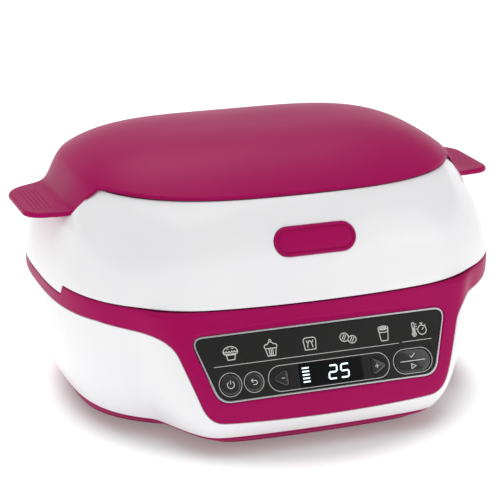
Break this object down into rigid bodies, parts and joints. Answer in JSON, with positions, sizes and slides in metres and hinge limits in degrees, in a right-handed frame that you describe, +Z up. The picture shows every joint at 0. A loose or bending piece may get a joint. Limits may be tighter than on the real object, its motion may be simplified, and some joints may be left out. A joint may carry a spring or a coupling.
{
  "type": "electric cake maker",
  "caption": "Countertop electric cake maker with a hinged domed lid, side handles, a tilted control panel with push buttons and a removable baking tray.",
  "frame": {"origin": "on the surface it stands on, under the middle of its plan outline", "axes": "+X towards the right handle as seen from the front, +Y towards the hinges at the rear, +Z up"},
  "size_m": [0.367, 0.2958, 0.1979],
  "materials": {
    "white_shell": "satin gloss",
    "berry_plastic": "semi-gloss",
    "panel_black": "fine grained",
    "key_black": "gloss",
    "display_glass": "smoked gloss",
    "trim_silver": "satin",
    "foot_rubber": "matte",
    "coated_metal": "non-stick coating",
    "steel": "satin",
    "aluminised_sheet": "satin",
    "heater_tube": "heat darkened",
    "seal_silicone": "matte",
    "circuit_board": "lacquered",
    "dark_plastic": "matte",
    "relay_plastic": "gloss",
    "pale_ceramic": "matte",
    "display_light": "diffuser"
  },
  "bodies": {
    "base": {"base_shell": "white_shell", "rim_and_console_frame": "berry_plastic", "bottom_cover": "berry_plastic", "foot_front_left": "foot_rubber", "foot_front_right": "foot_rubber", "foot_rear_right": "foot_rubber", "foot_rear_left": "foot_rubber", "base_screw_front_left": "steel", "base_screw_front_right": "steel", "base_screw_rear_right": "steel", "base_screw_rear_left": "steel", "cooking_well": "coated_metal", "baking_tray": "coated_metal", "lower_heating_element": "heater_tube", "lower_heat_shield": "aluminised_sheet", "lower_temperature_sensor": "steel", "sensor_spring": "steel", "lower_thermal_fuse": "pale_ceramic", "power_board": "circuit_board", "power_relay": "relay_plastic", "filter_capacitor": "dark_plastic", "cord_gland": "dark_plastic", "control_panel": "panel_black", "panel_trim": "trim_silver", "display_window": "display_glass", "display_module": "display_light", "control_board": "circuit_board", "power_switch": "dark_plastic", "back_switch": "dark_plastic", "minus_switch": "dark_plastic", "plus_switch": "dark_plastic", "ok_switch": "dark_plastic", "base_hinge_left": "berry_plastic", "base_hinge_right": "berry_plastic", "hinge_pin_left": "steel", "hinge_pin_right": "steel"},
    "lid": {"lid_cover": "berry_plastic", "lid_shell": "white_shell", "lid_badge": "berry_plastic", "lid_liner": "coated_metal", "lid_screw_front_left": "steel", "lid_screw_front_right": "steel", "lid_screw_rear_right": "steel", "lid_screw_rear_left": "steel", "lid_seal": "seal_silicone", "upper_heating_element": "heater_tube", "upper_heat_reflector": "aluminised_sheet", "upper_temperature_sensor": "steel", "upper_thermal_fuse": "pale_ceramic", "lid_hinge_left": "white_shell", "lid_hinge_right": "white_shell"},
    "power_key": {"power_button": "key_black"},
    "back_key": {"back_button": "key_black"},
    "minus_key": {"minus_button": "key_black"},
    "plus_key": {"plus_button": "key_black"},
    "ok_key": {"ok_button": "key_black"}
  },
  "joints": [
    {"name": "lid_hinge", "type": "hinge", "parent": "base", "child": "lid", "pos_m": [0, 0.14329, 0.0966], "axis": [-1, 0, 0], "range_deg": [0, 95]},
    {"name": "power_press", "type": "slide", "parent": "base", "child": "power_key", "axis": [0, 0.9011, -0.4337], "range_m": [0, 0.0006], "stiffness_N_per_m": 800},
    {"name": "back_press", "type": "slide", "parent": "base", "child": "back_key", "axis": [0, 0.9011, -0.4337], "range_m": [0, 0.0006], "stiffness_N_per_m": 800},
    {"name": "minus_press", "type": "slide", "parent": "base", "child": "minus_key", "axis": [0, 0.9011, -0.4337], "range_m": [0, 0.0006], "stiffness_N_per_m": 800},
    {"name": "plus_press", "type": "slide", "parent": "base", "child": "plus_key", "axis": [0, 0.9011, -0.4337], "range_m": [0, 0.0006], "stiffness_N_per_m": 800},
    {"name": "ok_press", "type": "slide", "parent": "base", "child": "ok_key", "axis": [0, 0.9011, -0.4337], "range_m": [0, 0.0006], "stiffness_N_per_m": 800}
  ]
}
